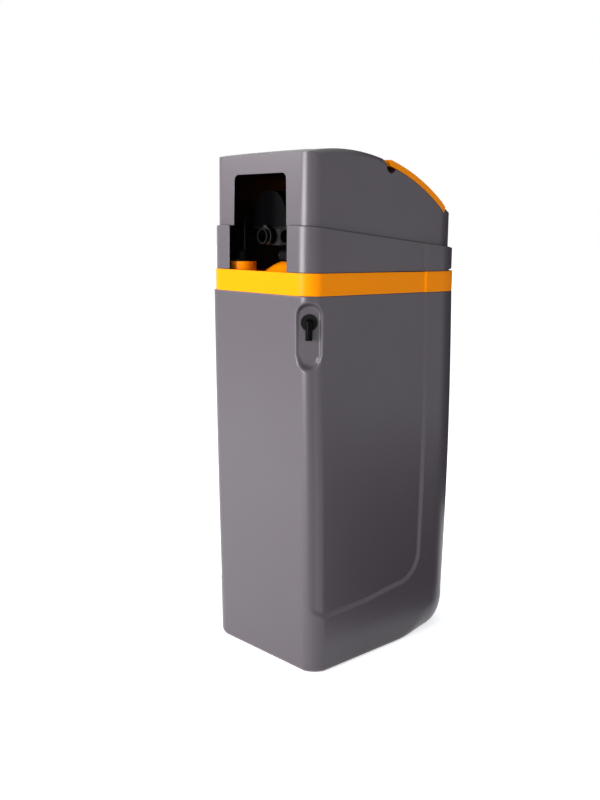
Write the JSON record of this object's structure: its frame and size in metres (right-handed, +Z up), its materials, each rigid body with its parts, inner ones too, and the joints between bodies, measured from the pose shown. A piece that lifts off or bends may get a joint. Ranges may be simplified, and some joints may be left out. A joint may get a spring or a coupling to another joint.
{
  "type": "cabinet water softener",
  "caption": "Tall cabinet water softener with a bowed front, orange rim band and hinged orange salt lid, a lift-off hood over a rotary control valve, and a rear pipe opening.",
  "frame": {"origin": "middle of the footprint, on the floor", "axes": "+Z up, -Y towards the bowed front with the salt lid, +Y towards the rear with the pipe ports"},
  "size_m": [0.331, 0.508, 1.0941],
  "materials": {
    "grey_plastic": "fine moulded grain",
    "orange_plastic": "smooth moulded",
    "black_plastic": "moulded",
    "clip_plastic": "smooth moulded",
    "seal_rubber": "matt",
    "zinc_steel": "zinc plated",
    "display_glass": "polished tinted window",
    "button_plastic": "fine grain",
    "board_laminate": "lacquered",
    "tank_fibreglass": "wound fibreglass",
    "resin_beads": "fine beads",
    "white_plastic": "moulded"
  },
  "bodies": {
    "cabinet": {"cabinet_shell": "grey_plastic", "overflow_grommet": "seal_rubber", "rim_deck": "orange_plastic", "cover_ring": "grey_plastic", "ring_screws": "zinc_steel", "tank_boot": "black_plastic", "resin_tank": "tank_fibreglass", "resin_bed": "resin_beads", "riser_tube": "white_plastic", "bottom_strainer": "white_plastic", "top_strainer": "white_plastic", "neck_clamp_left": "black_plastic", "neck_clamp_right": "black_plastic", "clamp_screws": "zinc_steel", "valve_body": "black_plastic", "valve_cap": "black_plastic", "valve_cover": "black_plastic", "inlet_clip": "clip_plastic", "outlet_clip": "clip_plastic", "turbine_support": "white_plastic", "motor_plate": "zinc_steel", "drive_motor": "zinc_steel", "position_switch": "black_plastic", "venturi_housing": "black_plastic", "drain_spigot": "black_plastic", "brine_well": "white_plastic", "well_cap": "black_plastic", "brine_riser": "white_plastic", "brine_valve": "black_plastic", "brine_tube": "black_plastic"},
    "hood": {"hood": "grey_plastic", "hinge_pins": "zinc_steel", "panel_bezel": "black_plastic", "display_lens": "display_glass", "circuit_board": "board_laminate"},
    "salt_lid": {"salt_lid": "orange_plastic"},
    "button_1": {"panel_button_1": "button_plastic"},
    "button_2": {"panel_button_2": "button_plastic"},
    "button_3": {"panel_button_3": "button_plastic"},
    "button_4": {"panel_button_4": "button_plastic"},
    "overflow_elbow": {"overflow_elbow": "black_plastic"},
    "cam_gear": {"cam_gear": "white_plastic"},
    "motor_pinion": {"motor_pinion": "white_plastic"},
    "flow_turbine": {"flow_turbine": "white_plastic"},
    "brine_float": {"brine_float": "white_plastic"}
  },
  "joints": [
    {"name": "hood_lift", "type": "slide", "parent": "cabinet", "child": "hood", "axis": [0, 0, 1], "range_m": [0, 0.3]},
    {"name": "lid_hinge", "type": "hinge", "parent": "hood", "child": "salt_lid", "pos_m": [0, 0.014, 1.06521], "axis": [-1, 0, 0], "range_deg": [0, 115]},
    {"name": "button_1_press", "type": "slide", "parent": "hood", "child": "button_1", "axis": [0, 0, -1], "range_m": [0, 0.0012], "stiffness_N_per_m": 500},
    {"name": "button_2_press", "type": "slide", "parent": "hood", "child": "button_2", "axis": [0, 0, -1], "range_m": [0, 0.0012], "stiffness_N_per_m": 500},
    {"name": "button_3_press", "type": "slide", "parent": "hood", "child": "button_3", "axis": [0, 0, -1], "range_m": [0, 0.0012], "stiffness_N_per_m": 500},
    {"name": "button_4_press", "type": "slide", "parent": "hood", "child": "button_4", "axis": [0, 0, -1], "range_m": [0, 0.0012], "stiffness_N_per_m": 500},
    {"name": "elbow_swivel", "type": "hinge", "parent": "cabinet", "child": "overflow_elbow", "pos_m": [-0.121, 0.214, 0.747], "axis": [-0.7071, 0.7071, 0], "range_deg": [-30, 30]},
    {"name": "cam_turn", "type": "hinge", "parent": "cabinet", "child": "cam_gear", "pos_m": [0.036, 0.138, 0.946], "axis": [0, 0, 1], "continuous": true},
    {"name": "pinion_turn", "type": "hinge", "parent": "cabinet", "child": "motor_pinion", "pos_m": [0.036, 0.09135, 0.946], "axis": [0, 0, 1], "continuous": true},
    {"name": "turbine_spin", "type": "hinge", "parent": "cabinet", "child": "flow_turbine", "pos_m": [-0.036, 0.155, 0.916], "axis": [0, 1, 0], "continuous": true},
    {"name": "float_rise", "type": "slide", "parent": "cabinet", "child": "brine_float", "axis": [0, 0, 1], "range_m": [0, 0.68]}
  ],
  "couplings": [
    {"joint": "pinion_turn", "follows": "cam_turn", "ratio": -5.2}
  ]
}
